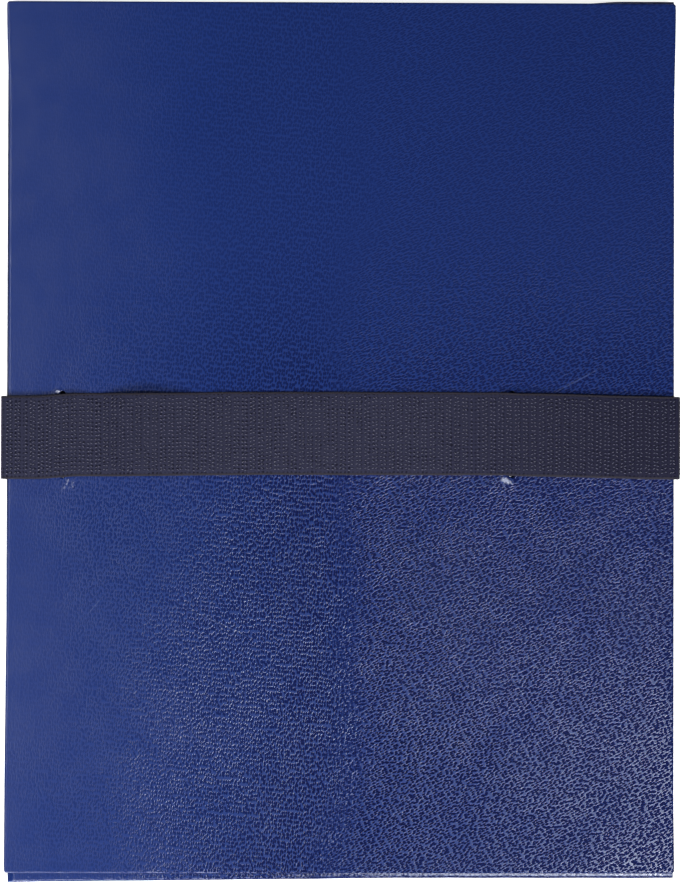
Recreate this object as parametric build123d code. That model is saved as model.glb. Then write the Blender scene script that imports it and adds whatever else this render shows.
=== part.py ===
from build123d import *
from math import copysign
import os

# Expanding document wallet, lying flat: X runs from the spine to the fore-edge, Y up the
# page, Z through the thickness. The origin is under the middle of the rear cover.

# Covers
cover_width = 245.0
cover_height = 320.0
cover_corner = 1.2
board_thick = 2.0
skin_thick = 0.3
liner_thick = 0.2
turn_in = 15.0
liner_inset = 5.0
edge_round = 0.6
front_rise = 1.2

# Strap and the slots that hold it
strap_width = 30.5
strap_rise = 0.9
webbing_thick = 0.55
pile_thick = 0.25
selvedge = 1.3
slot_width = 2.8
slot_spare = 3.0
left_slot_inset = 20.0
right_slot_inset = 60.0
strap_bend = 1.5
thread_round = 0.35
strap_end_drop = 9.7
peel_inset = 6.0
end_inset = 73.0
under_stop = 0.5
lap = 0.1

# The outer strap stands a little off the cover beside the left slot
hump_start = 32.0
hump_top = 48.5
hump_end = 71.0
hump_height = 2.3
slot_dip = 2.0
slot_climb = 4.0

# Room inside, flaps and gusset
bay_room = 4.6
flap_gap = 0.9
flap_card = 0.6
flap_depth = 95.0
flap_spine_gap = 6.0
flap_fore_gap = 6.0
flap_taper = 14.0
fold_out = 1.7
fold_round = 1.5
fold_cloth = 0.4
fold_glue = 14.0
fold_parting = 0.2
gusset_inset = 1.5
pleat_depth = 16.0
pleat_count = 4
cloth_thick = 0.4
tape_thick = 0.6
joint_cloth = 0.3

# Levels through the thickness, from the face that the wallet lies on
strap_thick = webbing_thick + pile_thick
cover_thick = liner_thick + board_thick + 2 * skin_thick
rear_outer = strap_thick
rear_inner = rear_outer + cover_thick
rear_run_top = rear_inner + strap_thick
flap_under = rear_run_top + bay_room
flap_top = flap_under + flap_card + skin_thick
front_inner = flap_top + flap_gap
front_outer = front_inner + cover_thick
outer_run = front_outer + strap_thick + lap
gusset_foot = rear_inner + tape_thick
gusset_head = front_inner - lap - tape_thick

# Places across the wallet
half_width = cover_width / 2
half_height = cover_height / 2
left_slot = -half_width + left_slot_inset
right_slot = half_width - right_slot_inset
slot_length = strap_width + slot_spare
strap_mid = front_rise + strap_rise
leg_inside = half_width + lap
leg_outside = leg_inside + strap_thick
tail_inside = leg_outside + lap
side_reach = tail_inside + strap_thick
joint_inside = -half_width - lap
joint_outside = joint_inside - joint_cloth
gusset_half = half_height - gusset_inset
pleat_inside = -half_width + pleat_depth
peel_line = -half_width + peel_inset
end_line = half_width - end_inset
fold_line = half_height + fold_out
flap_left = pleat_inside + flap_spine_gap
flap_right = half_width - flap_fore_gap
fold_axis = (rear_inner + flap_top) / 2


def block(x_low, x_high, y_low, y_high, z_low, z_high):
    """A box between two corners."""
    middle = Pos((x_low + x_high) / 2, (y_low + y_high) / 2, (z_low + z_high) / 2)
    return middle * Box(x_high - x_low, y_high - y_low, z_high - z_low)


def plate(inset, corner, y_mid, z_one, z_two):
    """A round-cornered sheet of the cover's outline, drawn in by an inset."""
    outline = RectangleRounded(cover_width - 2 * inset, cover_height - 2 * inset, corner)
    bottom = min(z_one, z_two)
    return Pos(0, y_mid, bottom) * extrude(outline, abs(z_two - z_one))


def slots(z_one, z_two):
    """The two upright slots that the strap is threaded through."""
    outline = SlotOverall(slot_length, slot_width, rotation=90)
    cutter = extrude(outline, abs(z_two - z_one))
    bottom = min(z_one, z_two)
    left = Pos(left_slot, strap_mid, bottom) * cutter
    right = Pos(right_slot, strap_mid, bottom) * cutter
    return left + right


def cover(inner, outward, y_mid):
    """Board, covering and liner of one cover, built out from its inner face."""
    turned = inner + outward * liner_thick
    board_in = turned + outward * skin_thick
    board_out = board_in + outward * board_thick
    outer = board_out + outward * skin_thick
    cutter = slots(inner - outward * lap, outer + outward * lap)

    board_corner = cover_corner - skin_thick
    board = plate(skin_thick, board_corner, y_mid, board_in, board_out) - cutter

    covering = plate(0, cover_corner, y_mid, turned, outer)
    ranked = covering.faces().sort_by(Axis.Z)
    outer_face = ranked[-1] if outward > 0 else ranked[0]
    covering = fillet(outer_face.edges(), edge_round)
    covering -= plate(skin_thick, board_corner, y_mid, board_in, board_out)
    covering -= plate(turn_in, board_corner, y_mid, turned, board_in)
    covering -= cutter

    liner = plate(liner_inset, board_corner, y_mid, inner, turned)
    liner += plate(turn_in, board_corner, y_mid, turned, board_in)
    liner -= cutter
    return board, covering, liner


def strap_run(x_low, x_high, z_low, z_high):
    """A straight stretch of strap."""
    half = strap_width / 2
    return block(x_low, x_high, strap_mid - half, strap_mid + half, z_low, z_high)


def threaded_strap(inner, outward, left_end, right_end):
    """Strap outside the cover on both margins, and inside it between the slots."""
    outer = inner + outward * cover_thick
    outside = sorted((outer, outer + outward * strap_thick))
    inside = sorted((inner, inner - outward * strap_thick))
    through = (min(outside[0], inside[0]), max(outside[1], inside[1]))
    half = strap_thick / 2
    strap = strap_run(left_end, left_slot + half, *outside)
    strap += strap_run(left_slot - half, left_slot + half, *through)
    strap += strap_run(left_slot - half, right_slot + half, *inside)
    strap += strap_run(right_slot - half, right_slot + half, *through)
    strap += strap_run(right_slot - half, right_end, *outside)
    bends = []
    for edge in strap.edges().filter_by(Axis.Y):
        from_slot = min(abs(edge.center().X - left_slot), abs(edge.center().X - right_slot))
        if from_slot < slot_width / 2:
            bends.append(edge)
    return fillet(bends, thread_round)


def strap_knots(rise):
    """Points that the outer strap's profile passes level, from the peel line to its bend."""
    margin = outer_run + rise
    lying = front_outer + lap + rise
    main = [
        (peel_line, margin),
        (left_slot + slot_dip, margin),
        (-half_width + hump_start, lying),
        (-half_width + hump_top, lying + hump_height),
        (-half_width + hump_end, lying),
        (end_line - lap, lying),
    ]
    end = [
        (end_line, lying),
        (right_slot - slot_dip - slot_climb, lying),
        (right_slot - slot_dip, margin),
        (tail_inside - strap_bend, margin),
    ]
    return main, end


def level_curve(knots, y):
    """Edges through knots, level at each one."""
    edges = []
    for (x_one, z_one), (x_two, z_two) in zip(knots, knots[1:]):
        start = (x_one, y, z_one)
        end = (x_two, y, z_two)
        x_mid = (x_one + x_two) / 2
        if z_one == z_two:
            edges.append(Line(start, end))
        else:
            edges.append(Bezier(start, (x_mid, y, z_one), (x_mid, y, z_two), end))
    return edges


def end_bend(rise, y):
    """Edges round the fore-edge and down to the strap's tip."""
    centre_x = tail_inside - strap_bend
    centre_z = outer_run - strap_bend
    radius = strap_bend + rise
    diagonal = radius / 2 ** 0.5
    start = (centre_x, y, centre_z + radius)
    middle = (centre_x + diagonal, y, centre_z + diagonal)
    end = (centre_x + radius, y, centre_z)
    tip = (centre_x + radius, y, centre_z - strap_end_drop)
    return [ThreePointArc(start, middle, end), Line(end, tip)]


def strap_layer(low, high, width):
    """The outer strap's main run and end, between two heights over its underside."""
    y = strap_mid - width / 2
    stretches = []
    for stretch in (0, 1):
        chains = []
        for rise in (low, high):
            chain = level_curve(strap_knots(rise)[stretch], y)
            if stretch == 1:
                chain += end_bend(rise, y)
            chains.append(chain)
        under, over = chains
        near_end = Line(under[0] @ 0, over[0] @ 0)
        far_end = Line(under[-1] @ 1, over[-1] @ 1)
        face = make_face([*under, *over, near_end, far_end])
        stretches.append(extrude(face, amount=width, dir=(0, 1, 0)))
    return stretches


def bent_outline(corner, across_end, up_end, thick, bend):
    """An L-shaped section: its outer corner, the ends of its arms, and its outer bend."""
    across, up = corner
    across_in = across + copysign(thick, across_end - across)
    up_in = up + copysign(thick, up_end - up)
    outline = make_face(
        Polyline(
            (across, up),
            (across_end, up),
            (across_end, up_in),
            (across_in, up_in),
            (across_in, up_end),
            (across, up_end),
            close=True,
        )
    )
    outline = fillet(nearest_vertex(outline, across, up), bend)
    if bend > thick:
        outline = fillet(nearest_vertex(outline, across_in, up_in), bend - thick)
    return outline


def nearest_vertex(outline, across, up):
    """The corner of a flat outline that lies nearest to a point."""
    return outline.vertices().sort_by(lambda v: abs(v.X - across) + abs(v.Y - up))[0]


def bent_strap(corner, across_end, up_end, bend):
    """Strap that turns once, seen from the lower edge of the page."""
    outline = bent_outline(corner, across_end, up_end, strap_thick, bend)
    return Pos(0, strap_mid, 0) * extrude(Plane.XZ * outline, strap_width / 2, both=True)


def spine_leg():
    """The strap's leg up the spine side, with its foot under the rear cover's edge."""
    return bent_strap((-side_reach, 0), -half_width, front_inner - lap, strap_bend)


def fore_leg():
    """The strap's leg up the fore-edge, which the strap's end closes onto."""
    return bent_strap((leg_outside, 0), half_width, outer_run - strap_bend, strap_thick)


def strap_corner():
    """The strap's bend over the spine edge, from its leg to the peel line."""
    crown = outer_run + strap_thick
    return bent_strap((-side_reach, crown), peel_line - lap, front_inner, strap_bend + strap_thick)


def gusset():
    """Cloth folded into pleats that run in from the spine edge."""
    half = cloth_thick / 2
    outside = -half_width
    pitch = (gusset_head - gusset_foot - cloth_thick) / pleat_count
    notch = pleat_depth * cloth_thick / pitch
    bay_side = [(outside, gusset_foot)]
    spine_side = [(outside, gusset_foot + cloth_thick)]
    for number in range(pleat_count):
        fold = gusset_foot + half + pitch * (number + 0.5)
        bay_side.append((pleat_inside, fold - half))
        bay_side.append((pleat_inside, fold + half))
        spine_side.append((pleat_inside - notch, fold))
        crease = fold + pitch / 2
        if number < pleat_count - 1:
            bay_side.append((outside + notch, crease))
            spine_side.append((outside, crease - half))
            spine_side.append((outside, crease + half))
    bay_side.append((outside, gusset_head))
    spine_side.append((outside, gusset_head - cloth_thick))
    y_low = -gusset_half
    points = [(x, y_low, z) for x, z in bay_side + spine_side[::-1]]
    face = make_face(Polyline(*points, close=True))
    return extrude(face, amount=2 * gusset_half, dir=(0, 1, 0))


def hinge_tape(z_low):
    """A flat tape along the spine edge, which an end of the gusset is glued to."""
    return block(joint_outside, pleat_inside, -gusset_half, gusset_half, z_low, z_low + tape_thick)


def joint_strip(z_low, z_high):
    """Cloth up the spine edge of a cover."""
    return block(joint_outside, joint_inside, -gusset_half, gusset_half, z_low, z_high)


def flap_layer(depth, thick):
    """One layer of the upper flap, at a depth under its outer face, cut back at both ends."""
    corner = (fold_line - depth, flap_top - depth)
    foot = fold_axis + fold_parting / 2
    outline = bent_outline(corner, fold_line - flap_depth, foot, thick, fold_round - depth)
    bent = extrude(Plane.YZ * outline, flap_right - flap_left)
    plan = Polyline(
        (flap_left, fold_line),
        (flap_left + flap_depth, fold_line - flap_depth),
        (flap_right - flap_taper, fold_line - flap_depth),
        (flap_right, fold_line),
        close=True,
    )
    allowed = extrude(make_face(plan), flap_top)
    return (Pos(flap_left, 0, 0) * bent) & allowed


def fold_strip():
    """Cloth strip glued along the rear cover's edge, which the upper flap turns on."""
    corner = (fold_line, rear_inner)
    wall_top = fold_axis - fold_parting / 2
    outline = bent_outline(corner, fold_line - fold_glue, wall_top, fold_cloth, fold_round)
    return Pos(flap_left, 0, 0) * extrude(Plane.YZ * outline, flap_right - flap_left)


front_board, front_covering, front_liner = cover(front_inner, 1, front_rise)
rear_board, rear_covering, rear_liner = cover(rear_inner, -1, 0)
upper_covering = flap_layer(0, skin_thick)
upper_card = flap_layer(skin_thick, flap_card)
upper_fold = fold_strip()
hook_width = strap_width - 2 * selvedge
outer_webbing, end_webbing = strap_layer(0, webbing_thick, strap_width)
outer_hooks, end_hooks = strap_layer(webbing_thick, strap_thick, hook_width)

parts = {
    "rear_board": rear_board,
    "rear_covering": rear_covering,
    "rear_liner": rear_liner,
    "rear_hinge_tape": hinge_tape(rear_inner),
    "rear_joint_cloth": joint_strip(rear_outer + edge_round, rear_inner),
    "spine_gusset": gusset(),
    "strap_back_run": threaded_strap(rear_inner, -1, -half_width, half_width),
    "strap_spine_leg": spine_leg(),
    "strap_fore_leg": fore_leg(),
    "upper_fold_strip": upper_fold,
    "lower_fold_strip": mirror(upper_fold, Plane.XZ),
    "gusset_top_tape": hinge_tape(gusset_head),
    "front_joint_cloth": joint_strip(gusset_head + tape_thick, front_outer - edge_round),
    "front_board": front_board,
    "front_covering": front_covering,
    "front_liner": front_liner,
    "strap_under_run": threaded_strap(front_inner, 1, under_stop - half_width, half_width - under_stop),
    "strap_corner": strap_corner(),
    "strap_outer_webbing": outer_webbing,
    "strap_outer_hooks": outer_hooks,
    "strap_end_webbing": end_webbing,
    "strap_end_hooks": end_hooks,
    "upper_flap_card": upper_card,
    "upper_flap_covering": upper_covering,
    "lower_flap_card": mirror(upper_card, Plane.XZ),
    "lower_flap_covering": mirror(upper_covering, Plane.XZ),
}

os.makedirs("parts", exist_ok=True)
for name, shape in parts.items():
    export_step(shape, f"parts/{name}.step")
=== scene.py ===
import math
import random

import bpy
import numpy as np
from mathutils import Matrix, Quaternion, Vector, noise


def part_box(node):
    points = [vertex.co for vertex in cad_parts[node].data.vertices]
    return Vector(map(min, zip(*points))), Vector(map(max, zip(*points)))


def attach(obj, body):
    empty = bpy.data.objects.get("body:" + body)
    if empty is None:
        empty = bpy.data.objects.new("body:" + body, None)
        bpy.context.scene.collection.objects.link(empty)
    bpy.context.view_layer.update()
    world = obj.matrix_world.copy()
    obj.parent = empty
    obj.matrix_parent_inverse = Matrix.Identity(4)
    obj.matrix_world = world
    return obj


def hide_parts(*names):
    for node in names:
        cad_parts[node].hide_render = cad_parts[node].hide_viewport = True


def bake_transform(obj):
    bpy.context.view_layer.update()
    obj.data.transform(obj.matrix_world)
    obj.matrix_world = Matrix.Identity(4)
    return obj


# An expanding document wallet, closed by its hook-tape strap and seen from above.
# X runs from the spine to the fore-edge, Y up the page, Z through the thickness, in metres.
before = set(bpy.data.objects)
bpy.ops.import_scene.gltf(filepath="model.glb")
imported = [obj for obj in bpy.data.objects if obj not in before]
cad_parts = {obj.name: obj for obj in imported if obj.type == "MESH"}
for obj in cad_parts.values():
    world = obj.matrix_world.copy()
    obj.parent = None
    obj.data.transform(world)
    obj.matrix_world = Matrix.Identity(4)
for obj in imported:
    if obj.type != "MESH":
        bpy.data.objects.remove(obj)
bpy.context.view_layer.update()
mm = 0.001

# Places taken from the frame
front_low, front_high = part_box("front_covering")
rear_low, rear_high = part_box("rear_covering")
strap_low, strap_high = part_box("strap_outer_webbing")
tail_low, tail_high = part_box("strap_end_webbing")
corner_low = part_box("strap_corner")[0]
under_low, under_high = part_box("strap_under_run")
back_low, back_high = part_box("strap_back_run")
spine_leg_low, spine_leg_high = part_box("strap_spine_leg")
fore_leg_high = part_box("strap_fore_leg")[1]
flap_low, flap_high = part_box("upper_flap_covering")
fold_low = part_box("upper_fold_strip")[0]
pleat_low, pleat_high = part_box("spine_gusset")
joint_low, joint_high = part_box("front_joint_cloth")

# Covers
skin_thick = 0.3 * mm
edge_round = 0.6 * mm
edge_turns = (22.5, 45, 67.5, 90)
cover_corner = 1.2 * mm
least_corner = 0.2 * mm
turn_in = 15.0 * mm
chamfer = 0.3 * skin_thick
board_inset = 0.5 * mm
grid_step = 2.6 * mm
corner_steps = (0.4 * mm, 0.8 * mm)
fine_step = 0.5 * mm
fine_reach = 6.0 * mm
wave_depth = 0.10 * mm
wave_length = 70.0 * mm
wave_margin = 12.0 * mm

# How the front cover's edges have spread to the sides, and between which places up the page it fades
flare_width = 122.0 * mm
head_fade = (118.0 * mm, 160.0 * mm)
left_foot_fade = (-165.0 * mm, 10.0 * mm)
right_foot_fade = (-165.0 * mm, -130.0 * mm)
left_head_spread = 0.95 * mm
left_foot_spread = 1.0 * mm
right_head_spread = 0.6 * mm
right_foot_spread = 0.35 * mm
right_draw_in = 0.35 * mm

# Slots
left_slot_inset = 20.0 * mm
right_slot_inset = 60.0 * mm
left_slot = front_low.x + left_slot_inset
right_slot = front_high.x - right_slot_inset
left_slot_middle = 1.9 * mm
right_slot_middle = 2.4 * mm
slot_width = 2.3 * mm
front_slot_length = 32.0 * mm
rear_slot_length = 30.9 * mm
slot_sides = 24

# Strap
strap_mid = (strap_low.y + strap_high.y) / 2
strap_width = strap_high.y - strap_low.y
webbing_thick = 0.55 * mm
strap_thick = 0.8 * mm
threaded_thick = 0.7 * mm
selvedge = 0.9 * mm
cover_lap = 0.1 * mm
side_stand = 0.8 * mm
tail_stand = 0.35 * mm
strap_bend = 1.5 * mm
thread_bend = 0.6 * mm
run_step = 1.5 * mm
end_step = 1.2 * mm
corner_step = 0.8 * mm
leg_step = 0.6 * mm
ruffle_depth = 0.12 * mm
ruffle_length = 9.0 * mm
lower_ruffle = 0.6

# The strap's bow between the slots, and what share of each drop it takes between two places
bow_top = 0.40 * mm
spine_drop = 1.75 * mm
fore_drop = 1.35 * mm
spine_climbs = [(0.6, -114 * mm, -95 * mm), (0.4, -90 * mm, -20 * mm)]
fore_falls = [(0.27, 59 * mm, 67 * mm), (0.73, 67 * mm, 122 * mm)]

# The strap's hump, measured from the left edge, and its dips at the slots
hump_start = 32.0 * mm
hump_top = 48.5 * mm
hump_end = 71.0 * mm
hump_height = 2.3 * mm
slot_dip = 2.0 * mm
slot_climb = 4.0 * mm

# Hooks
hook_pitch = 1.5 * mm
hook_row_pitch = 1.44 * mm
hook_rows = int((strap_width - 2 * selvedge) / hook_row_pitch)
hook_stem = 0.30 * mm
hook_curl = 0.18 * mm
hook_wire = 0.17 * mm
hook_sides = 4
curl_steps = 4
curl_turn = 205
bend_slope = 0.35
upright_slope = 0.95
row_scatter = 0.45 * mm
hook_scatter = 0.2 * mm
hook_push = 0.18 * mm
hook_lean = 0.7
hook_heights = (0.75, 1.1)

# Flaps
flap_round = 1.1 * mm
flap_card_thick = 0.6 * mm
flap_taper = 14.0 * mm
flap_past = 3.0 * mm
flap_step = 0.9 * mm
flap_columns = 90
fold_glue = 14.0 * mm
fold_end = 122.3 * mm
fold_fade = (30.0 * mm, 2.0 * mm)
glue_fade = (0.9 * fold_glue, 0.2 * fold_glue)
fold_ripple = 0.10 * mm
ripple_length = 16.0 * mm
ripple_height = 4.0 * mm
notch_gap = 0.1 * mm
notch_slope = 1.2 * mm
tolerance = 0.01 * mm
# A painted highlight along each upper fold: where it begins and ends in from the fold, how it grows towards
# the fore-edge, its share at the spine and the share the fore-edge adds
highlight_start = (0.5 * mm, 1.1 * mm)
highlight_end = (2.2 * mm, 3.0 * mm)
highlight_growth = (-60.0 * mm, 60.0 * mm)
spine_highlight = 0.25
fore_highlight = 0.35

# How far the folds stand past the covers' edges
upper_stand = -0.05 * mm
upper_widening = 0.75 * mm
upper_bend = (88.0 * mm, 104.0 * mm)
lower_stand = -0.83 * mm
lower_widening = 1.61 * mm
lower_start = 22.0 * mm
lower_run = 143.0 * mm

# Gusset and spine
gusset_cloth_thick = 0.3 * mm
pleat_count = 4
pleat_steps = 24
pleat_sharpness = 0.985
gusset_rows = 61
crumple_depth = 0.35 * mm
crumple_length = 22.0 * mm
joint_overlap = 0.4 * mm
joint_rows = 9
joint_columns = 81
joint_ripple = 0.04 * mm
joint_ripple_length = 7.0 * mm

# Leather grain, which is flatter to the spine and the head
grain_size = 1.0 * mm
grain_stretch = (1.6, 0.8, 1)
grain_turns = (85, 28)
grain_scatter = 0.65
ridge_rise = (0.26, 0.54)
grain_drift = 0.4 * mm
grain_drift_size = 2.5 * mm
grain_relief = 0.12 * mm
polish_relief = 0.06 * mm
patch_size = 45.0 * mm
patch_reach = 60.0 * mm
grain_change = (20.0 * mm, 50.0 * mm)
grain_growth = (-105.0 * mm, 25.0 * mm)
grain_fade = (20.0 * mm, 115.0 * mm)
# Where painted shade darkens the leather from the spine to the fore-edge
shade_change = (-60.0 * mm, 150.0 * mm)
head_polish_fade = (-12.0 * mm, 18.0 * mm)
spine_polish_fade = (-70.0 * mm, 0.0)
foot_polish_growth = (-160.0 * mm, -90.0 * mm)

# The longest scratches: x, y and length in millimetres, and the turn in degrees
scratches = [(-43.9, -67.7, 38, -24), (-90.2, -60.6, 14, 50), (86.0, 22.0, 30, 28)]
scratch_half_width = 0.35 * mm

# Threads and papers
thread_pitch = 0.55 * mm
weave_relief = 0.08 * mm
paper_relief = 0.04 * mm
webbing_relief = 0.12 * mm
webbing_drift = 1.0 * mm
webbing_drift_size = 1.6 * mm
# Where painted shade darkens the webbing towards the fore-edge
webbing_shade_span = (0.0, 130.0 * mm)

# Colours
leather_at_spine = (0.0052, 0.0172, 0.097, 1)
# Painted shade: the leather darkens to this towards the fore-edge
leather_shaded_at_fore_edge = (0.0041, 0.0138, 0.080, 1)
# Painted shade in the grain's pits
leather_pit_shade = (0.0003, 0.002, 0.028, 1)
leather_scratch = (0.10, 0.13, 0.25, 1)
# Real scuffs at the slots and a painted highlight along the flaps' folds both take this colour
leather_scuff_and_highlight = (0.21, 0.23, 0.32, 1)
webbing_tones = ((0.0078, 0.0083, 0.0225, 1), (0.019, 0.020, 0.041, 1))
# Painted shade: the webbing darkens to this towards the fore-edge
webbing_shaded_at_fore_edge = (0.002, 0.002, 0.012, 1)
# Painted shadow of the hooks, in the dips between them
webbing_hook_shadow = (0.001, 0.001, 0.008, 1)
selvedge_tones = ((0.008, 0.0075, 0.014, 1), (0.020, 0.018, 0.026, 1))
hook_tones = ((0.048, 0.049, 0.080, 1), (0.105, 0.106, 0.148, 1))
cloth_tones = ((0.006, 0.010, 0.040, 1), (0.014, 0.022, 0.075, 1))
greyboard_tones = ((0.15, 0.14, 0.12, 1), (0.30, 0.28, 0.25, 1), (0.06, 0.06, 0.06, 1))
paper_tones = ((0.010, 0.018, 0.070, 1), (0.018, 0.030, 0.105, 1), (0.03, 0.05, 0.14, 1))
white = (1, 1, 1)
cool_white = (0.96, 0.98, 1)
floor_white = (0.8, 0.8, 0.8, 1)
pale_wall = (0.60, 0.60, 0.60, 1)
dark_ceiling = (0.02, 0.02, 0.02, 1)
room_light = (0.10, 0.10, 0.10, 1)

# Camera, floor and room
camera_sensor = 24
camera_lens = 111.2
camera_height = 1.5
camera_place = (-0.026, -0.024)
camera_aim = (-0.0007, -0.00025)
camera_turn = 0.14
floor_reach = 6.0
floor_glow = 0.75
wall_fade = (0.02, 0.85)


def eased(low, high, value):
    """0 up to low, 1 from high on, and smooth in between. With low over high it falls instead."""
    share = np.clip((value - low) / (high - low), 0, 1)
    return share * share * (3 - 2 * share)


# Mesh helpers
def grid_faces(rows, columns, start=0, closed=False, flip=False):
    """Quads between neighbouring rows of points. A closed row joins its ends."""
    faces = []
    for row in range(rows - 1):
        for column in range(columns if closed else columns - 1):
            here = start + row * columns
            after = (column + 1) % columns
            quad = [here + column, here + after, here + columns + after, here + columns + column]
            faces.append(quad[::-1] if flip else quad)
    return faces


def mesh_piece(name, points, faces, material, places=None, flat_ends=0):
    """A smooth mesh with flat last faces. places are its points' texture coordinates, in metres."""
    mesh = bpy.data.meshes.new(name)
    mesh.from_pydata(np.asarray(points, float).tolist(), [], faces)
    smooth = [number < len(faces) - flat_ends for number in range(len(faces))]
    mesh.polygons.foreach_set("use_smooth", smooth)
    rims = {key for face in mesh.polygons[len(faces) - flat_ends:] for key in face.edge_keys}
    mesh.edges.foreach_set("use_edge_sharp", [edge.key in rims for edge in mesh.edges])
    if places is not None:
        corner_points = np.zeros(len(mesh.loops), int)
        mesh.loops.foreach_get("vertex_index", corner_points)
        layer = mesh.uv_layers.new(name="Length")
        layer.uv.foreach_set("vector", np.asarray(places, np.float32)[corner_points].ravel())
    mesh.update()
    mesh.materials.append(material)
    piece = bpy.data.objects.new(name, mesh)
    bpy.context.scene.collection.objects.link(piece)
    return piece


def settle(piece):
    """Applies a piece's modifiers to its mesh."""
    graph = bpy.context.evaluated_depsgraph_get()
    finished = bpy.data.meshes.new_from_object(piece.evaluated_get(graph))
    piece.modifiers.clear()
    piece.data = finished
    return piece


def thicken(piece, thick, inside=None):
    """Thickens a sheet on the side away from its normals, which may have a material of its own."""
    solid = piece.modifiers.new("thickness", "SOLIDIFY")
    solid.thickness = thick
    solid.offset = -1
    if inside is not None:
        piece.data.materials.append(inside)
        solid.material_offset = 1
    return settle(piece)


def add_wear_and_highlight(piece, wear_and_highlight):
    """Gives each point of a piece how far it is scuffed, and on the flaps' folds how strong a painted
    highlight is; both lighten the leather alike.
    """
    spots = piece.data.attributes.new("wear_and_highlight", "FLOAT", "POINT")
    spots.data.foreach_set("value", np.array(wear_and_highlight, np.float32))


def spaced(corners, step):
    """The corners of a line, with points between them so that no gap is over a step."""
    points = [Vector(corners[0])]
    for start, end in zip(corners, corners[1:]):
        count = max(1, math.ceil((Vector(end) - Vector(start)).length / step))
        for number in range(1, count + 1):
            points.append(Vector(start).lerp(Vector(end), number / count))
    return points


def soft_line(corners, radius, step, arc_steps=6):
    """A line of straight runs with rounded corners."""
    points = [Vector(corners[0])]
    for before, corner, after in zip(corners, corners[1:], corners[2:]):
        into = (Vector(corner) - Vector(before)).normalized()
        out = (Vector(after) - Vector(corner)).normalized()
        side = math.copysign(1, into.x * out.y - into.y * out.x)
        turn = into.angle(out)
        inward = Vector((-into.y, into.x)) * side
        start = Vector(corner) - into * radius * math.tan(turn / 2)
        for number in range(arc_steps + 1):
            angle = turn * number / arc_steps
            bowed = inward * radius * (1 - math.cos(angle))
            points.append(start + bowed + into * radius * math.sin(angle))
    points.append(Vector(corners[-1]))
    return spaced(points, step)


def line_shape(line):
    """Arrays of a line's points, directions and normals, and the distance run at each point."""
    at = np.array([tuple(point) for point in line])
    along = np.gradient(at, axis=0)
    along /= np.linalg.norm(along, axis=1)[:, None]
    normal = np.stack([-along[:, 1], along[:, 0]], axis=1)
    run = np.concatenate([[0], np.cumsum(np.linalg.norm(np.diff(at, axis=0), axis=1))])
    return at, along, normal, run


# Node helpers
class Nodes:
    """A node tree, with a short call for each kind of node that is used."""

    def __init__(self, tree):
        self.tree = tree

    def node(self, kind, settings=None, **inputs):
        """A new node. An underscore stands for the blank in an input's name."""
        made = self.tree.nodes.new("ShaderNode" + kind)
        for key, value in (settings or {}).items():
            setattr(made, key, value)
        for key, value in inputs.items():
            self.feed(made.inputs[key.replace("_", " ")], value)
        return made

    def feed(self, socket, value):
        """Links an output to a socket, or sets its value."""
        if isinstance(value, bpy.types.NodeSocket):
            self.tree.links.new(value, socket)
        else:
            socket.default_value = value

    def noise(self, vector, size, detail=2.0, roughness=0.5):
        made = self.node("TexNoise", Vector=vector, Scale=1 / size, Detail=detail, Roughness=roughness)
        return made.outputs["Fac"]

    def sum(self, kind, first, second=0.0, third=0.0):
        """A sum with numbers."""
        made = self.node("Math", {"operation": kind})
        for socket, value in zip(made.inputs, (first, second, third)):
            self.feed(socket, value)
        return made.outputs[0]

    def vector_sum(self, kind, *values):
        """The outputs of a sum with vectors."""
        made = self.node("VectorMath", {"operation": kind})
        for socket, value in zip(made.inputs, values):
            self.feed(socket, value)
        return made.outputs

    def span(self, value, low, high, to_low=0.0, to_high=1.0):
        """Takes a value smoothly from one span to another."""
        inputs = {"Value": value, "From_Min": low, "From_Max": high, "To_Min": to_low, "To_Max": to_high}
        return self.node("MapRange", {"interpolation_type": "SMOOTHSTEP"}, **inputs).outputs["Result"]

    def mix(self, factor, first, second):
        """A colour between two colours."""
        made = self.node("Mix", {"data_type": "RGBA"})
        self.feed(made.inputs["Factor"], factor)
        self.feed(made.inputs[6], first)
        self.feed(made.inputs[7], second)
        return made.outputs[2]

    def stretched(self, vector, scale):
        return self.node("Mapping", Vector=vector, Scale=scale).outputs["Vector"]

    def placed(self, vector, scale, turn, middle=(0, 0, 0)):
        """A vector as seen from a middle, in a frame turned by some degrees and with its own scale."""
        rotation = (0, 0, math.radians(turn))
        inputs = {"Vector": vector, "Location": middle, "Rotation": rotation, "Scale": scale}
        return self.node("Mapping", {"vector_type": "TEXTURE"}, **inputs).outputs["Vector"]

    def pushed(self, vector, place, size, reach):
        """A vector that noise pushes about, so that what is drawn along it wanders."""
        drift = self.node("TexNoise", Vector=place, Scale=1 / size, Detail=1.0).outputs["Color"]
        return self.vector_sum("MULTIPLY_ADD", drift, (reach, reach, 0), vector)[0]


class Surface(Nodes):
    """One material's nodes."""

    def __init__(self, name):
        self.material = bpy.data.materials.new(name)
        self.material.use_nodes = True
        super().__init__(self.material.node_tree)
        self.shader = self.tree.nodes["Principled BSDF"]

    def set(self, **inputs):
        """Feeds the shader's inputs."""
        for key, value in inputs.items():
            self.feed(self.shader.inputs[key.replace("_", " ")], value)

    def place(self):
        return self.node("TexCoord").outputs["Object"]

    def length(self):
        """The place along and across a tape."""
        return self.node("UVMap", {"uv_map": "Length"}).outputs["UV"]

    def bump(self, height, depth):
        return self.node("Bump", Height=height, Distance=depth).outputs["Normal"]


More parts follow.
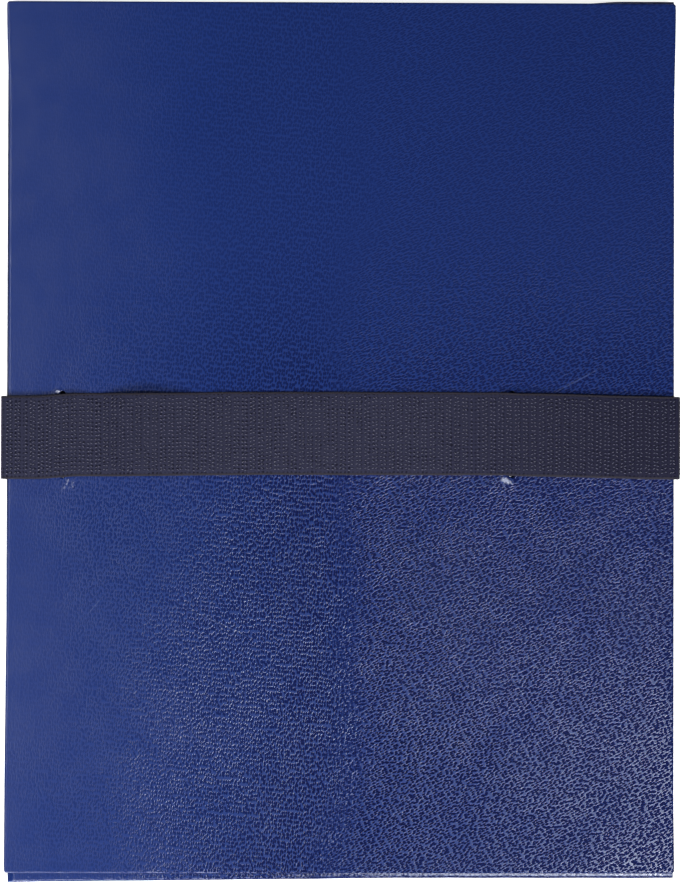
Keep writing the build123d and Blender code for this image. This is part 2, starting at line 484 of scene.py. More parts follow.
# Materials
def grain_ridges(look, place, from_spine):
    """Two nets of ridges, of which the upright one gives way to the slanting one on the fore side."""
    up = look.node("SeparateXYZ", Vector=place).outputs["Z"]
    sideways = look.node("CombineXYZ", X=up, Y=up).outputs["Vector"]
    wrapped = look.vector_sum("ADD", place, sideways)[0]
    wandering = look.pushed(wrapped, place, grain_drift_size, grain_drift)
    ridges = []
    for turn in grain_turns:
        net = look.placed(wandering, grain_stretch, turn)
        inputs = {"Vector": net, "Scale": 1 / grain_size, "Randomness": grain_scatter}
        cells = look.node("TexVoronoi", {"voronoi_dimensions": "2D"}, **inputs)
        ridges.append(look.span(cells.outputs["Distance"], *ridge_rise))
    fore = look.span(from_spine, *grain_change)
    change = look.sum("MULTIPLY", look.sum("SUBTRACT", ridges[1], ridges[0]), fore)
    return look.sum("ADD", ridges[0], change)


def scratch_strokes(look, place):
    """Where the longest scratches are: thin strokes that fade to their ends."""
    scratched = 0.0
    for x, y, long, turn in scratches:
        scale = (long / 2 * mm, scratch_half_width, 1)
        stroke = look.placed(place, scale, turn, (x * mm, y * mm, 0))
        away = look.vector_sum("LENGTH", stroke)["Value"]
        scratched = look.sum("MAXIMUM", look.span(away, 0.2, 1.0, 0.6, 0.0), scratched)
    return scratched


def leather_polish(look, place, pits, from_spine, scratched):
    """How far the ridges are polished: in patches, most to the spine and over the lower half."""
    across = look.node("SeparateXYZ", Vector=place).outputs["Y"]
    headward = look.span(across, *head_polish_fade, 1.0, 0.12)
    rested = look.sum("MAXIMUM", headward, look.span(from_spine, *spine_polish_fade, 1.0, 0.0))
    rested = look.sum("MULTIPLY", rested, look.span(across, *foot_polish_growth, 0.65, 1.0))
    rubbing_and_highlight = look.span(look.noise(place, 9 * mm, 3.0), 0.35, 0.65, 0.65, 1.0)
    rubbing_and_highlight = look.sum("MAXIMUM", look.sum("MULTIPLY", rubbing_and_highlight, rested), scratched)
    return look.sum("MULTIPLY", look.span(pits, 0.0, 0.35, 1.0, 0.0), rubbing_and_highlight)


def leather_material():
    """Deep blue bookbinding leather-cloth with a fine polished grain, scratches and scuffs. Its colour also
    carries painted shade towards the fore-edge and in the grain's pits, and a painted highlight along the
    flaps' folds.
    """
    look = Surface("blue_grained_leather")
    place = look.place()
    parts = look.node("SeparateXYZ", Vector=place).outputs
    patches = look.noise(place, patch_size, 4.0)
    from_spine = look.sum("MULTIPLY_ADD", patches, patch_reach, parts["X"])
    from_head = look.sum("MULTIPLY_ADD", patches, patch_reach, parts["Y"])
    ridge = grain_ridges(look, place, from_spine)
    depth = look.span(from_spine, *grain_growth, 0.1, 1.0)
    depth = look.sum("MULTIPLY", depth, look.span(from_head, *grain_fade, 1.0, 0.42))
    pits = look.sum("MULTIPLY", look.sum("SUBTRACT", 1, ridge), depth)
    scratched = scratch_strokes(look, place)

    # Painted shade: the leather's colour darkens from the spine towards the fore-edge
    colour = look.mix(look.span(from_spine, *shade_change), leather_at_spine, leather_shaded_at_fore_edge)
    # Painted shade: the grain's pits darken, more where the grain is deep
    colour = look.mix(pits, colour, leather_pit_shade)
    colour = look.mix(look.sum("MULTIPLY", scratched, 0.25), colour, leather_scratch)
    # This attribute holds real scuffs at the slots and a painted highlight along the flaps' folds; both
    # lighten the leather
    worn_and_highlight = look.node("Attribute", {"attribute_name": "wear_and_highlight"}).outputs["Fac"]
    ragged = look.sum("MULTIPLY_ADD", look.noise(place, 0.9 * mm, 3.0), 0.9, worn_and_highlight)
    look.set(Base_Color=look.mix(look.span(ragged, 0.75, 1.2), colour, leather_scuff_and_highlight))
    look.set(Roughness=look.sum("MULTIPLY_ADD", pits, 0.1, 0.5), Specular_IOR_Level=0.05)
    look.set(Coat_Weight=leather_polish(look, place, pits, from_spine, scratched), Coat_Roughness=0.2)

    height = look.sum("MULTIPLY_ADD", look.noise(place, 3.5 * mm, 2.0), 0.25, ridge)
    height = look.sum("MULTIPLY", height, depth)
    look.set(Normal=look.bump(height, grain_relief), Coat_Normal=look.bump(height, polish_relief))
    return look.material


def webbing_dips_and_shadows(look, along):
    """Where the small dips between the hooks are, darkened with a painted shadow of the hooks, stronger and
    weaker in patches.
    """
    wandering = look.pushed(along, along, webbing_drift_size, webbing_drift)
    parts = look.node("SeparateXYZ", Vector=wandering).outputs
    ribs = look.sum("COSINE", look.sum("MULTIPLY", parts["X"], 2 * math.pi / hook_pitch))
    from_edge = look.sum("ADD", parts["Y"], hook_rows * hook_row_pitch / 2)
    picks = look.sum("COSINE", look.sum("MULTIPLY", from_edge, 2 * math.pi / hook_row_pitch))
    dips_and_shadows = look.span(look.sum("ADD", ribs, picks), 0.3, 1.5)
    return look.sum("MULTIPLY", dips_and_shadows, look.span(look.noise(along, 5 * mm, 3.0), 0.35, 0.6, 0.3, 1.0))


def webbing_material():
    """Dark woven nylon ground with small dips between the hooks that hold a painted shadow of the hooks,
    and plain brownish selvedges.
    """
    look = Surface("strap_webbing")
    along = look.length()
    dips_and_shadows = webbing_dips_and_shadows(look, along)
    edge = look.sum("ABSOLUTE", look.node("SeparateXYZ", Vector=along).outputs["Y"])
    border = look.span(edge, strap_width / 2 - selvedge, strap_width / 2 - 0.8 * selvedge)
    fibre = look.noise(look.stretched(along, (1, 4, 1)), 0.6 * mm, 3.0)
    # Painted shade: the webbing's ground darkens towards the fore-edge
    out = look.node("SeparateXYZ", Vector=look.place()).outputs["X"]
    fore = look.span(out, *webbing_shade_span, 0.0, 0.7)
    ground = look.mix(fore, look.mix(fibre, *webbing_tones), webbing_shaded_at_fore_edge)
    # Painted shadow: the ground darkens between the hooks
    ground = look.mix(dips_and_shadows, ground, webbing_hook_shadow)
    plain = look.mix(fibre, *selvedge_tones)
    look.set(Base_Color=look.mix(border, ground, plain), Roughness=look.span(fibre, 0.3, 0.7, 0.6, 0.75))
    look.set(Specular_IOR_Level=0.1, Sheen_Weight=0.05, Sheen_Roughness=0.4)
    look.set(Normal=look.bump(look.sum("MULTIPLY_ADD", dips_and_shadows, -1.0, fibre), webbing_relief))
    return look.material


def hook_material():
    """Grey-blue nylon monofilament."""
    look = Surface("hook_nylon")
    place = look.place()
    look.set(Base_Color=look.mix(look.noise(place, 5 * mm, 4.0), *hook_tones))
    look.set(Roughness=look.span(look.noise(place, 0.4 * mm), 0.3, 0.7, 0.28, 0.42))
    look.set(Normal=look.bump(look.noise(place, 0.12 * mm, 2.0), 0.01 * mm))
    return look.material


def cloth_material(name, dark, light):
    """Plain-woven book cloth."""
    look = Surface(name)
    place = look.place()
    parts = look.node("SeparateXYZ", Vector=place).outputs
    up = look.sum("SINE", look.sum("MULTIPLY", parts["Y"], 2 * math.pi / thread_pitch))
    out = look.sum("ADD", parts["X"], parts["Z"])
    around = look.sum("SINE", look.sum("MULTIPLY", out, 2 * math.pi / thread_pitch))
    weave = look.sum("MULTIPLY", up, around)
    tone = look.noise(place, 4 * mm, 4.0)
    look.set(Base_Color=look.mix(look.span(weave, -1, 1, 0.2, 0.8), dark, look.mix(tone, light, dark)))
    look.set(Roughness=look.span(tone, 0.2, 0.8, 0.7, 0.85))
    look.set(Normal=look.bump(look.sum("MULTIPLY_ADD", tone, 0.8, weave), weave_relief))
    return look.material


def board_material(name, dark, light, fleck):
    """Pressed board or paper: soft mottling with fibres and flecks."""
    look = Surface(name)
    place = look.place()
    mottle = look.noise(place, 8 * mm, 5.0)
    fibre = look.noise(look.stretched(place, (1, 5, 3)), 1.5 * mm, 5.0, 0.7)
    flecks = look.span(look.noise(place, 0.7 * mm, 1.0), 0.68, 0.76)
    base = look.mix(look.sum("MULTIPLY_ADD", fibre, 0.5, look.sum("MULTIPLY", mottle, 0.5)), dark, light)
    look.set(Base_Color=look.mix(look.sum("MULTIPLY", flecks, 0.6), base, fleck))
    look.set(Roughness=look.span(fibre, 0.2, 0.8, 0.75, 0.92))
    look.set(Normal=look.bump(look.sum("ADD", fibre, mottle), paper_relief))
    return look.material


leather = leather_material()
webbing = webbing_material()
hook_nylon = hook_material()
spine_cloth = cloth_material("spine_cloth", *cloth_tones)
greyboard = board_material("greyboard", *greyboard_tones)
lining = board_material("lining_paper", *paper_tones)
card = board_material("flap_card", *paper_tones)


def dress(names, material):
    """Gives CAD nodes their finish."""
    for name in names:
        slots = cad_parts[name].data.materials
        slots.clear()
        slots.append(material)


# Covers
class Mark:
    """A spot where handling has lifted or scuffed the covering. Lengths in millimetres, turn in degrees."""

    def __init__(self, x, y, long, wide, turn, rise, wear_and_highlight):
        self.centre = np.array((x, y)) * mm
        self.reach = np.array((long, wide)) * mm
        self.turn = math.radians(turn)
        self.rise = rise * mm
        self.wear_and_highlight = wear_and_highlight

    def strength(self, x, y):
        """1 at the spot's centre, and less away from it."""
        away_x = x - self.centre[0]
        away_y = y - self.centre[1]
        along = away_x * math.cos(self.turn) + away_y * math.sin(self.turn)
        beside = away_y * math.cos(self.turn) - away_x * math.sin(self.turn)
        return math.exp(-((along / self.reach[0]) ** 2) - (beside / self.reach[1]) ** 2)


slot_marks = [
    Mark(x=-104.4, y=17.7, long=1.0, wide=0.6, turn=20, rise=0.45, wear_and_highlight=0.9),
    Mark(x=-100.6, y=-15.8, long=2.8, wide=0.45, turn=70, rise=0.2, wear_and_highlight=0.55),
    Mark(x=-99.0, y=-16.6, long=2.6, wide=0.4, turn=60, rise=0.15, wear_and_highlight=0.5),
    Mark(x=60.6, y=-14.6, long=2.8, wide=1.3, turn=-20, rise=0.3, wear_and_highlight=0.75),
    Mark(x=57.0, y=-14.4, long=3.4, wide=0.9, turn=-12, rise=0.12, wear_and_highlight=0.35),
    Mark(x=63.2, y=18.2, long=1.0, wide=0.35, turn=8, rise=0.25, wear_and_highlight=0.5),
]


def cover_lines(low, high, fine_places):
    """Grid lines between two edges, closer together about some places and at the corners."""
    lines = list(np.linspace(low, high, round((high - low) / grid_step) + 1))
    lines += [low + step for step in corner_steps] + [high - step for step in corner_steps]
    for place in fine_places:
        start = place - fine_reach
        end = place + fine_reach
        lines = [line for line in lines if not start < line < end]
        lines += list(np.linspace(start, end, round((end - start) / fine_step) + 1))
    return sorted(set(np.round(lines, 7)))


def grid_rim(columns, rows):
    """The numbers of a grid's outer points, once around."""
    rim = list(range(columns))
    rim += [row * columns + columns - 1 for row in range(1, rows)]
    rim += [(rows - 1) * columns + column for column in range(columns - 2, -1, -1)]
    rim += [row * columns for row in range(rows - 2, 0, -1)]
    return rim


def edge_profile(depth):
    """A cover's edge as insets and drops: rounded, straight down, and turned in with a chamfer."""
    profile = []
    for degrees in edge_turns:
        turn = math.radians(degrees)
        profile.append((edge_round * (1 - math.sin(turn)), edge_round * (1 - math.cos(turn))))
    profile += [(0, depth - skin_thick), (chamfer, depth - chamfer), (skin_thick, depth), (turn_in, depth)]
    return profile


def outline_place(share_x, share_y, half_x, half_y, inset):
    """A point of the cover's edge, with the outline drawn in and its corners rounded."""
    x = share_x * (half_x - inset)
    y = share_y * (half_y - inset)
    radius = max(cover_corner - inset, least_corner)
    over_x = abs(x) - (half_x - inset - radius)
    over_y = abs(y) - (half_y - inset - radius)
    if over_x > 0 and over_y > 0:
        pull = radius / math.hypot(over_x, over_y)
        x = math.copysign(half_x - inset - radius + over_x * pull, x)
        y = math.copysign(half_y - inset - radius + over_y * pull, y)
    return x, y


def flared(x, y):
    """How far the front cover's edges have spread sideways at a point: more to head and foot."""
    head = eased(*head_fade, y)
    if x < 0:
        foot = 1 - eased(*left_foot_fade, y)
        return -eased(0, flare_width, -x) * (left_head_spread * head + left_foot_spread * foot)
    foot = 1 - eased(*right_foot_fade, y)
    spread = right_head_spread * head + right_foot_spread * foot - right_draw_in
    return eased(0, flare_width, x) * spread


def cover_skin(name, node, body, outward, slots, slot_length, marks):
    """The covering of one cover: outer face, rounded edges, and turn-ins on the inside."""
    low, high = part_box(node)
    middle = (low + high) / 2
    half_x = (high.x - low.x) / 2
    half_y = (high.y - low.y) / 2
    slot_ends = [strap_mid - slot_length / 2, strap_mid + slot_length / 2]
    xs = cover_lines(low.x + edge_round, high.x - edge_round, [left_slot, right_slot])
    ys = cover_lines(low.y + edge_round, high.y - edge_round, slot_ends)

    points = []
    wear_and_highlight = []
    for y in ys:
        for x in xs:
            inside = min(half_x - abs(x - middle.x), half_y - abs(y - middle.y))
            wave = noise.fractal(Vector((x / wave_length, y / wave_length, outward)), 1, 2, 2)
            lift = sum(mark.rise * mark.strength(x, y) for mark in marks)
            lift += wave_depth * wave * eased(edge_round, wave_margin, inside)
            points.append((x, y, lift))
            wear_and_highlight.append(max([mark.wear_and_highlight * mark.strength(x, y) for mark in marks], default=0))
    faces = grid_faces(len(ys), len(xs))

    rim = grid_rim(len(xs), len(ys))
    before = rim
    for inset, drop in edge_profile(high.z - low.z):
        ring = []
        for corner in rim:
            share_x = (points[corner][0] - middle.x) / (half_x - edge_round)
            share_y = (points[corner][1] - middle.y) / (half_y - edge_round)
            x, y = outline_place(share_x, share_y, half_x, half_y, inset)
            ring.append(len(points))
            points.append((x + middle.x, y + middle.y, -drop))
            wear_and_highlight.append(0)
        for number in range(len(rim)):
            after = (number + 1) % len(rim)
            faces.append([ring[number], ring[after], before[after], before[number]])
        before = ring

    top = high.z if outward > 0 else low.z
    placed = []
    for x, y, z in points:
        spread = flared(x, y) if outward > 0 else 0
        placed.append((x + spread, y, top + outward * z))
    if outward < 0:
        faces = [face[::-1] for face in faces]
    piece = mesh_piece(name, placed, faces, leather)
    add_wear_and_highlight(piece, wear_and_highlight)
    thicken(piece, skin_thick)
    cut_slots(piece, slots, slot_length, low.z - mm, high.z + mm)
    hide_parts(node)
    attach(piece, body)


def front_panel(slots):
    """The front cover's board, a little smaller than its flared covering."""
    low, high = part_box("front_board")
    left = low.x + board_inset
    right = high.x - board_inset
    foot = low.y + board_inset
    head = high.y - board_inset
    outline = [(left, foot), (right, foot), (right, head), (left, head)]
    points = [(x, y, z) for z in (low.z, high.z) for x, y in outline]
    faces = grid_faces(2, 4, closed=True) + [[3, 2, 1, 0], [4, 5, 6, 7]]
    piece = mesh_piece("front_board_panel", points, faces, greyboard, flat_ends=len(faces))
    cut_slots(piece, slots, front_slot_length, low.z - mm, high.z + mm)
    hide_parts("front_board")
    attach(piece, "front_cover")


def cut_slots(piece, slots, slot_length, bottom, top):
    """Cuts upright round-ended slots, given by their middles, through a piece."""
    half = slot_width / 2
    end = slot_length / 2 - half
    points = []
    faces = []
    for x, y in slots:
        first = len(points)
        ring = []
        for number in range(slot_sides):
            angle = 2 * math.pi * (number + 0.5) / slot_sides
            rise = math.copysign(end, math.sin(angle))
            ring.append((x + half * math.cos(angle), y + rise + half * math.sin(angle)))
        points += [(*place, bottom) for place in ring] + [(*place, top) for place in ring]
        faces += grid_faces(2, slot_sides, first, closed=True)
        faces.append(list(range(first, first + slot_sides))[::-1])
        faces.append(list(range(first + slot_sides, first + 2 * slot_sides)))
    cutter = mesh_piece("slot_cutter", points, faces, leather)
    cut = piece.modifiers.new("slots", "BOOLEAN")
    cut.object = cutter
    cut.operation = "DIFFERENCE"
    cut.solver = "EXACT"
    settle(piece)
    bpy.data.objects.remove(cutter)


# Strap
def strap_centre(x):
    """Where the strap's middle lies across the page: it bows up between the slots."""
    left = sum(share * eased(start, end, x) for share, start, end in spine_climbs)
    right = sum(share * eased(start, end, x) for share, start, end in fore_falls)
    return strap_mid + bow_top - spine_drop * (1 - left) - fore_drop * right


def strap_height(x):
    """How high the underside of the outer strap is at x."""
    left_edge = front_low.x
    lying = front_high.z + cover_lap
    margin = lying + strap_thick
    down = eased(left_slot + slot_dip, left_edge + hump_start, x)
    up = eased(right_slot - slot_dip - slot_climb, right_slot - slot_dip, x)
    rise = eased(left_edge + hump_start, left_edge + hump_top, x)
    fall = eased(left_edge + hump_top, left_edge + hump_end, x)
    return margin + (lying - margin) * down * (1 - up) + hump_height * rise * (1 - fall)


def outer_line(start, end):
    """The middle of the outer strap's webbing between two places across the page."""
    count = round((end - start) / run_step)
    return [Vector((x, strap_height(x) + webbing_thick / 2)) for x in np.linspace(start, end, count)]


def tape_section(width, thick):
    """A woven tape's section, round the top and back under, as (across, out) points."""
    inner = width / 2 - thick
    over = [(share * inner, thick / 2) for share in (-1, -0.6, -0.2, 0.2, 0.6, 1)]
    edge = []
    for degrees in (30, 60, 90, 120, 150):
        turn = math.radians(degrees)
        edge.append((inner + thick * math.sin(turn), thick / 2 * math.cos(turn)))
    under = [(across, -out) for across, out in over[::-1]]
    back = [(-across, out) for across, out in edge[::-1]]
    return over + edge + under + back


def tape(name, line, thick, nodes):
    """A stretch of strap along a line of (x, z) points through its middle."""
    at, _, normal, run = line_shape(line)
    section = tape_section(strap_width, thick)
    points = []
    places = []
    for (x, z), out, distance in zip(at, normal, run):
        ruffle = ruffle_depth * noise.noise(Vector((x / ruffle_length, z / ruffle_length, 0)))
        for across, rise in section:
            side = ruffle if across > 0 else -lower_ruffle * ruffle
            points.append((x + out[0] * rise, strap_centre(x) + across + side, z + out[1] * rise))
            places.append((distance, across))
    columns = len(section)
    faces = grid_faces(len(at), columns, closed=True, flip=True)
    faces.append(list(range(columns)))
    faces.append([len(points) - 1 - number for number in range(columns)])
    piece = mesh_piece(name, points, faces, webbing, places, flat_ends=2)
    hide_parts(*nodes)
    return piece


def hook_shape():
    """One hook as an array of (along, across, out) points, and its faces."""
    bends = [(0, 0), (0, hook_stem)]
    for number in range(1, curl_steps + 1):
        angle = math.radians(180 - curl_turn * number / curl_steps)
        bends.append((hook_curl * (1 + math.cos(angle)), hook_stem + hook_curl * math.sin(angle)))
    at, _, normal, _ = line_shape(bends)
    points = []
    for place, out in zip(at, normal):
        for number in range(hook_sides):
            angle = 2 * math.pi * (number + 0.5) / hook_sides
            reach = hook_wire * math.cos(angle)
            beside = hook_wire * math.sin(angle)
            points.append((place[0] + out[0] * reach, beside, place[1] + out[1] * reach))
    return np.array(points), np.array(grid_faces(len(bends), hook_sides, closed=True, flip=True))


def hook_field(name, line, nodes):
    """Rows of small hooks on the webbing's outer face, left out where it bends."""
    shape, sides = hook_shape()
    at, along, normal, run = line_shape(line)
    order = random.Random(name)
    points = []
    faces = []
    for column in range(int(run[-1] / hook_pitch)):
        distance = (column + 0.5) * hook_pitch
        place = [np.interp(distance, run, at[:, axis]) for axis in (0, 1)]
        ahead = [np.interp(distance, run, along[:, axis]) for axis in (0, 1)]
        out = [np.interp(distance, run, normal[:, axis]) for axis in (0, 1)]
        if out[0] < -bend_slope or bend_slope < out[0] < upright_slope:
            continue
        facing = 1 if column % 2 else -1
        turned = sides[:, ::-1] if facing < 0 else sides
        shift = order.uniform(-row_scatter, row_scatter)
        for row in range(hook_rows):
            across = (row + 0.5 - hook_rows / 2) * hook_row_pitch
            across += shift + order.uniform(-hook_scatter, hook_scatter)
            lean = order.uniform(-hook_lean, hook_lean)
            tall = order.uniform(*hook_heights)
            forward = facing * shape[:, 0] + order.uniform(-hook_push, hook_push)
            rise = shape[:, 2] * tall + webbing_thick / 2
            hook = np.empty_like(shape)
            hook[:, 0] = place[0] + ahead[0] * forward + out[0] * rise
            hook[:, 1] = strap_centre(place[0]) + across + shape[:, 1] + lean * shape[:, 0]
            hook[:, 2] = place[1] + ahead[1] * forward + out[1] * rise
            faces.append(turned + len(points) * len(shape))
            points.append(hook)
    piece = mesh_piece(name, np.concatenate(points), np.concatenate(faces).tolist(), hook_nylon)
    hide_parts(*nodes)
    return piece


def outer_strap():
    """The strap's main run over the front, from the peel line to where its end is held."""
    line = outer_line(strap_low.x, strap_high.x)
    for piece in (
        tape("strap_outer_tape", line, webbing_thick, ["strap_outer_webbing"]),
        hook_field("strap_outer_hook_rows", line, ["strap_outer_hooks"]),
    ):
        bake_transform(piece)


def strap_end():
    """The strap's end, which turns down over the fore-edge."""
    middle = webbing_thick / 2
    bend_x = tail_high.x - webbing_thick - strap_bend
    crown = strap_height(bend_x) + middle
    reach = bend_x + strap_bend + middle + tail_stand
    corners = [(bend_x, crown), (reach, crown), (reach, tail_low.z)]
    bend = soft_line(corners, strap_bend + middle, end_step)
    line = outer_line(strap_high.x, bend_x)[:-1] + bend[1:]
    for piece in (
        tape("strap_end_tape", line, webbing_thick, ["strap_end_webbing"]),
        hook_field("strap_end_hook_rows", line, ["strap_end_hooks"]),
    ):
        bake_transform(piece)


def spine_corner():
    """The strap's bend from the spine up onto the front, with its hooks."""
    middle = webbing_thick / 2
    reach = spine_leg_low.x + middle - side_stand
    crown = strap_height(strap_low.x) + middle
    corners = [(reach, corner_low.z), (reach, crown), (strap_low.x, crown)]
    line = soft_line(corners, strap_bend + middle, corner_step)
    for piece in (
        tape("strap_corner_tape", line, webbing_thick, ["strap_corner"]),
        hook_field("strap_corner_hook_rows", line, ["strap_corner"]),
    ):
        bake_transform(piece)


def strap_legs():
    """The strap up the two sides, which draws out as the wallet expands."""
    middle = strap_thick / 2
    low = spine_leg_low
    high = fore_leg_high
    outside = low.x + middle - side_stand / 2
    corners = [(rear_low.x, low.z + middle), (outside, low.z + middle), (outside, spine_leg_high.z)]
    spine = soft_line(corners, strap_bend, leg_step)
    corners = [(high.x - middle, high.z), (high.x - middle, middle), (rear_high.x, middle)]
    fore = soft_line(corners, strap_bend - middle, leg_step)
    for name, line, node, top in (
        ("strap_spine_leg_tape", spine, "strap_spine_leg", spine_leg_high.z),
        ("strap_fore_leg_tape", fore, "strap_fore_leg", high.z),
    ):
        piece = tape(name, line, strap_thick, [node])
        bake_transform(piece)


def threaded_tape(name, node, body, outer, inner, ends):
    """Strap that lies outside a cover on both margins and inside it between the slots."""
    corners = [
        (ends[0], outer), (left_slot, outer), (left_slot, inner),
        (right_slot, inner), (right_slot, outer), (ends[1], outer),
    ]
    line = soft_line(corners, thread_bend, run_step)
    if outer < inner:
        line = line[::-1]
    piece = tape(name, line, threaded_thick, [node])
    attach(piece, body)


# Flaps
def fold_shift(x, side):
    """How far the fold stands past the cover's edge: the lower one widens to the spine."""
    if side > 0:
        return upper_stand + upper_widening * eased(*upper_bend, x)
    return lower_stand + lower_widening * np.clip((lower_start - x) / lower_run, 0, 1)


def flap_skin(name, side, nodes):
    """A flap's covering with its card, which go on over the fold and are glued along the rear cover.

    The fold is as long as the cover. Further in, both parts draw in to clear the gusset, and the
    upper one tapers at its ends.
    """
    fold = flap_high.y
    top = flap_high.z
    foot = fold_low.z
    corners = [(flap_low.y, top), (fold, top), (fold, foot), (fold - fold_glue, foot)]
    profile = soft_line(corners, flap_round, flap_step)
    turn = next(number for number, point in enumerate(profile) if point.x >= fold - tolerance)
    notch_depth = fold + fold_shift(-fold_end, side) - pleat_high.y - notch_gap
    points = []
    wear_and_highlight = []
    for number, (y, z) in enumerate(profile):
        depth = fold - y
        upper = number <= turn
        left = -fold_end
        right = fold_end
        if depth > notch_depth:
            notch = eased(notch_depth, notch_depth + notch_slope, depth)
            left += (fold_end + flap_low.x - flap_past + upper * (depth - notch_depth)) * notch
            right -= upper * flap_taper * depth / (fold - flap_low.y)
        near = eased(*fold_fade, depth) if upper else eased(*glue_fade, depth)
        # Painted highlight: a pale band along the fold's rounded edge, stronger towards the fore-edge
        rubbing_and_highlight = upper * eased(*highlight_start, depth) * (1 - eased(*highlight_end, depth))
        for column in range(flap_columns + 1):
            x = left + (right - left) * column / flap_columns
            ripple = fold_ripple * noise.noise(Vector((x / ripple_length, z / ripple_height, side)))
            points.append((x, side * (y + near * (fold_shift(x, side) + ripple)), z))
            wear_and_highlight.append(rubbing_and_highlight * (spine_highlight + fore_highlight * eased(*highlight_growth, x)))
    faces = grid_faces(len(profile), flap_columns + 1, flip=side < 0)
    piece = mesh_piece(name, points, faces, leather)
    add_wear_and_highlight(piece, wear_and_highlight)
    thicken(piece, skin_thick + flap_card_thick, card)
    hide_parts(*nodes)
    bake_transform(piece)


# Gusset and spine
def gusset():
    """Book cloth folded into pleats, which opens as the wallet expands."""
    low, high = pleat_low, pleat_high
    bottom = low.z + gusset_cloth_thick / 2
    top = high.z - gusset_cloth_thick / 2
    steps = pleat_count * pleat_steps
    profile = []
    for number in range(steps + 1):
        phase = 2 * math.pi * number / pleat_steps - math.pi / 2
        swing = math.asin(pleat_sharpness * math.sin(phase)) / math.asin(pleat_sharpness)
        across = (low.x + high.x) / 2 + (high.x - low.x - gusset_cloth_thick) / 2 * swing
        profile.append((across, bottom + (top - bottom) * number / steps))
    points = []
    for y in np.linspace(low.y, high.y, gusset_rows):
        for number, (x, z) in enumerate(profile):
            crumple = crumple_depth * noise.noise(Vector((y / crumple_length, number / pleat_steps, 0)))
            points.append((max(low.x, x + crumple), y, z))
    faces = grid_faces(gusset_rows, len(profile))
    piece = thicken(mesh_piece("gusset_cloth", points, faces, spine_cloth), gusset_cloth_thick)
    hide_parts("spine_gusset")
    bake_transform(piece)


def spine_joint():
    """The cloth that joins the gusset's top to the front cover along the spine."""
    low, high = joint_low, joint_high
    points = []
    for z in np.linspace(low.z - joint_overlap, high.z, joint_rows):
        for y in np.linspace(low.y, high.y, joint_columns):
            ripple = joint_ripple * noise.noise(Vector((y / joint_ripple_length, z / mm, 0)))
            points.append((low.x + ripple, y, z))
    faces = grid_faces(joint_rows, joint_columns, flip=True)
    piece = thicken(mesh_piece("spine_joint_cloth", points, faces, spine_cloth), high.x - low.x)
    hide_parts("front_joint_cloth")
    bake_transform(piece)


# Studio
def area_lamp(name, place, target, size, power, colour):
    """A lamp with a width and a height, which faces a target."""
    lamp = bpy.data.lights.new(name, "AREA")
    lamp.shape = "RECTANGLE"
    lamp.size = size[0]
    lamp.size_y = size[1]
    lamp.energy = power
    lamp.color = colour
    holder = bpy.data.objects.new(name, lamp)
    holder.location = place
    holder.rotation_mode = "QUATERNION"
    holder.rotation_quaternion = (Vector(target) - Vector(place)).to_track_quat("-Z", "Y")
    bpy.context.scene.collection.objects.link(holder)


def studio():
    """Three soft lamps in a room that is dark overhead and pale all round."""
    bpy.context.scene.view_settings.view_transform = "Standard"
    area_lamp("front_lamp", (-0.35, -1.40, 1.10), (0, 0, 0), (1.00, 0.70), 50, white)
    area_lamp("sheen_lamp", (0.39, -0.41, 1.20), (0.39, -0.41, 0), (0.30, 0.24), 17.0, white)
    area_lamp("left_lamp", (-0.42, 0.02, 1.20), (-0.42, 0.02, 0), (0.20, 1.00), 3.6, cool_white)

    world = bpy.data.worlds.new("room")
    bpy.context.scene.world = world
    world.use_nodes = True
    room = Nodes(world.node_tree)
    upward = room.node("SeparateXYZ", Vector=room.node("TexCoord").outputs["Generated"]).outputs["Z"]
    shown = room.mix(room.span(upward, *wall_fade), pale_wall, dark_ceiling)
    scattered = room.node("LightPath").outputs["Is Diffuse Ray"]
    room.feed(room.tree.nodes["Background"].inputs["Color"], room.mix(scattered, shown, room_light))


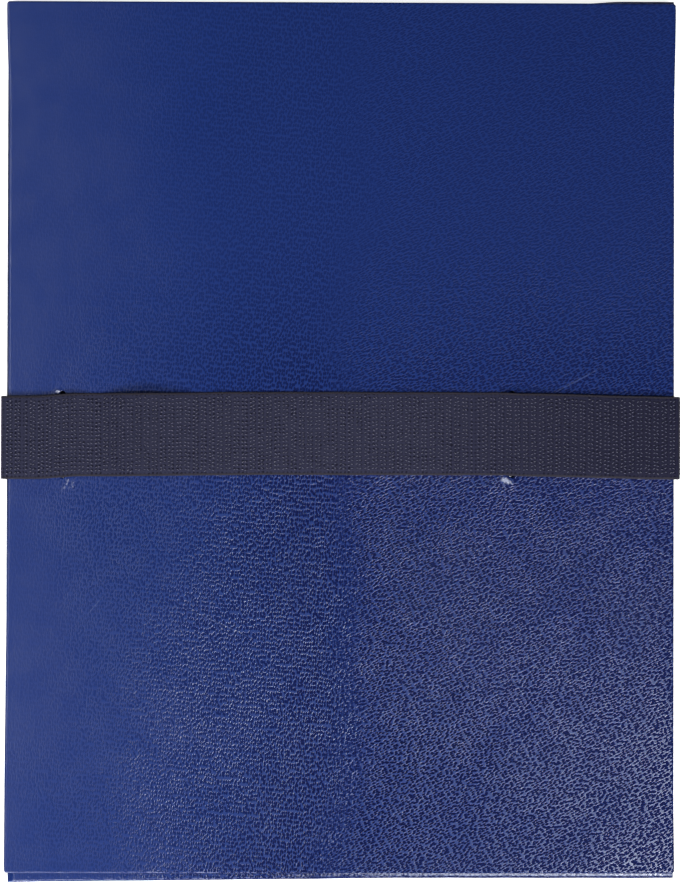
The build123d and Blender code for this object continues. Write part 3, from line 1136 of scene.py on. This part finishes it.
def floor():
    """A white floor that keeps the wallet's shadow. Its own light shows and lights nothing."""
    look = Surface("white_floor")
    look.set(Base_Color=floor_white, Roughness=0.9, Specular_IOR_Level=0.1)
    path = look.node("LightPath").outputs
    seen = look.sum("ADD", path["Is Camera Ray"], path["Is Glossy Ray"])
    seen = look.sum("ADD", seen, path["Is Transmission Ray"])
    look.set(Emission_Color=(*white, 1), Emission_Strength=look.sum("MULTIPLY", seen, floor_glow))
    reach = floor_reach
    corners = [(-reach, -reach, 0), (reach, -reach, 0), (reach, reach, 0), (-reach, reach, 0)]
    ground = mesh_piece("floor", corners, [[0, 1, 2, 3]], look.material)


def camera():
    """Looks straight down, a little off centre, so that the page narrows as in the picture."""
    lens = bpy.data.cameras.new("camera")
    lens.sensor_fit = "VERTICAL"
    lens.sensor_height = camera_sensor
    lens.lens = camera_lens
    eye = bpy.data.objects.new("camera", lens)
    bpy.context.scene.collection.objects.link(eye)
    eye.location = (*camera_place, front_high.z + camera_height)
    target = Vector((*camera_aim, front_high.z))
    ahead = (target - eye.location).normalized()
    right = ahead.cross(Vector((0, 1, 0))).normalized()
    upright = Matrix((right, right.cross(ahead), -ahead)).transposed().to_quaternion()
    eye.rotation_mode = "QUATERNION"
    eye.rotation_quaternion = upright @ Quaternion((0, 0, 1), math.radians(camera_turn))
    bpy.context.scene.camera = eye


camera()
studio()
floor()
front_slots = [(left_slot, left_slot_middle), (right_slot, right_slot_middle)]
rear_slots = [(place, strap_centre(place)) for place in (left_slot, right_slot)]
cover_skin(
    "front_cover_skin", "front_covering", "front_cover", 1, front_slots, front_slot_length, slot_marks,
)
cover_skin(
    "rear_cover_skin", "rear_covering", "root", -1, rear_slots, rear_slot_length, [],
)
front_panel(front_slots)
outer_strap()
strap_end()
spine_corner()
strap_legs()
threaded_tape(
    "strap_under_tape", "strap_under_run", "front_cover",
    front_high.z + strap_thick / 2, under_low.z + strap_thick / 2, (under_low.x, under_high.x),
)
threaded_tape(
    "strap_back_tape", "strap_back_run", "root",
    back_low.z + strap_thick / 2, back_high.z - strap_thick / 2, (back_low.x, back_high.x),
)
flap_skin(
    "upper_flap_skin", 1,
    ["upper_flap_covering", "upper_flap_card", "upper_fold_strip"],
)
flap_skin(
    "lower_flap_skin", -1,
    ["lower_flap_covering", "lower_flap_card", "lower_fold_strip"],
)
gusset()
spine_joint()
dress(["rear_board"], greyboard)
dress(["front_liner", "rear_liner"], lining)
dress(["rear_hinge_tape", "gusset_top_tape", "rear_joint_cloth"], spine_cloth)
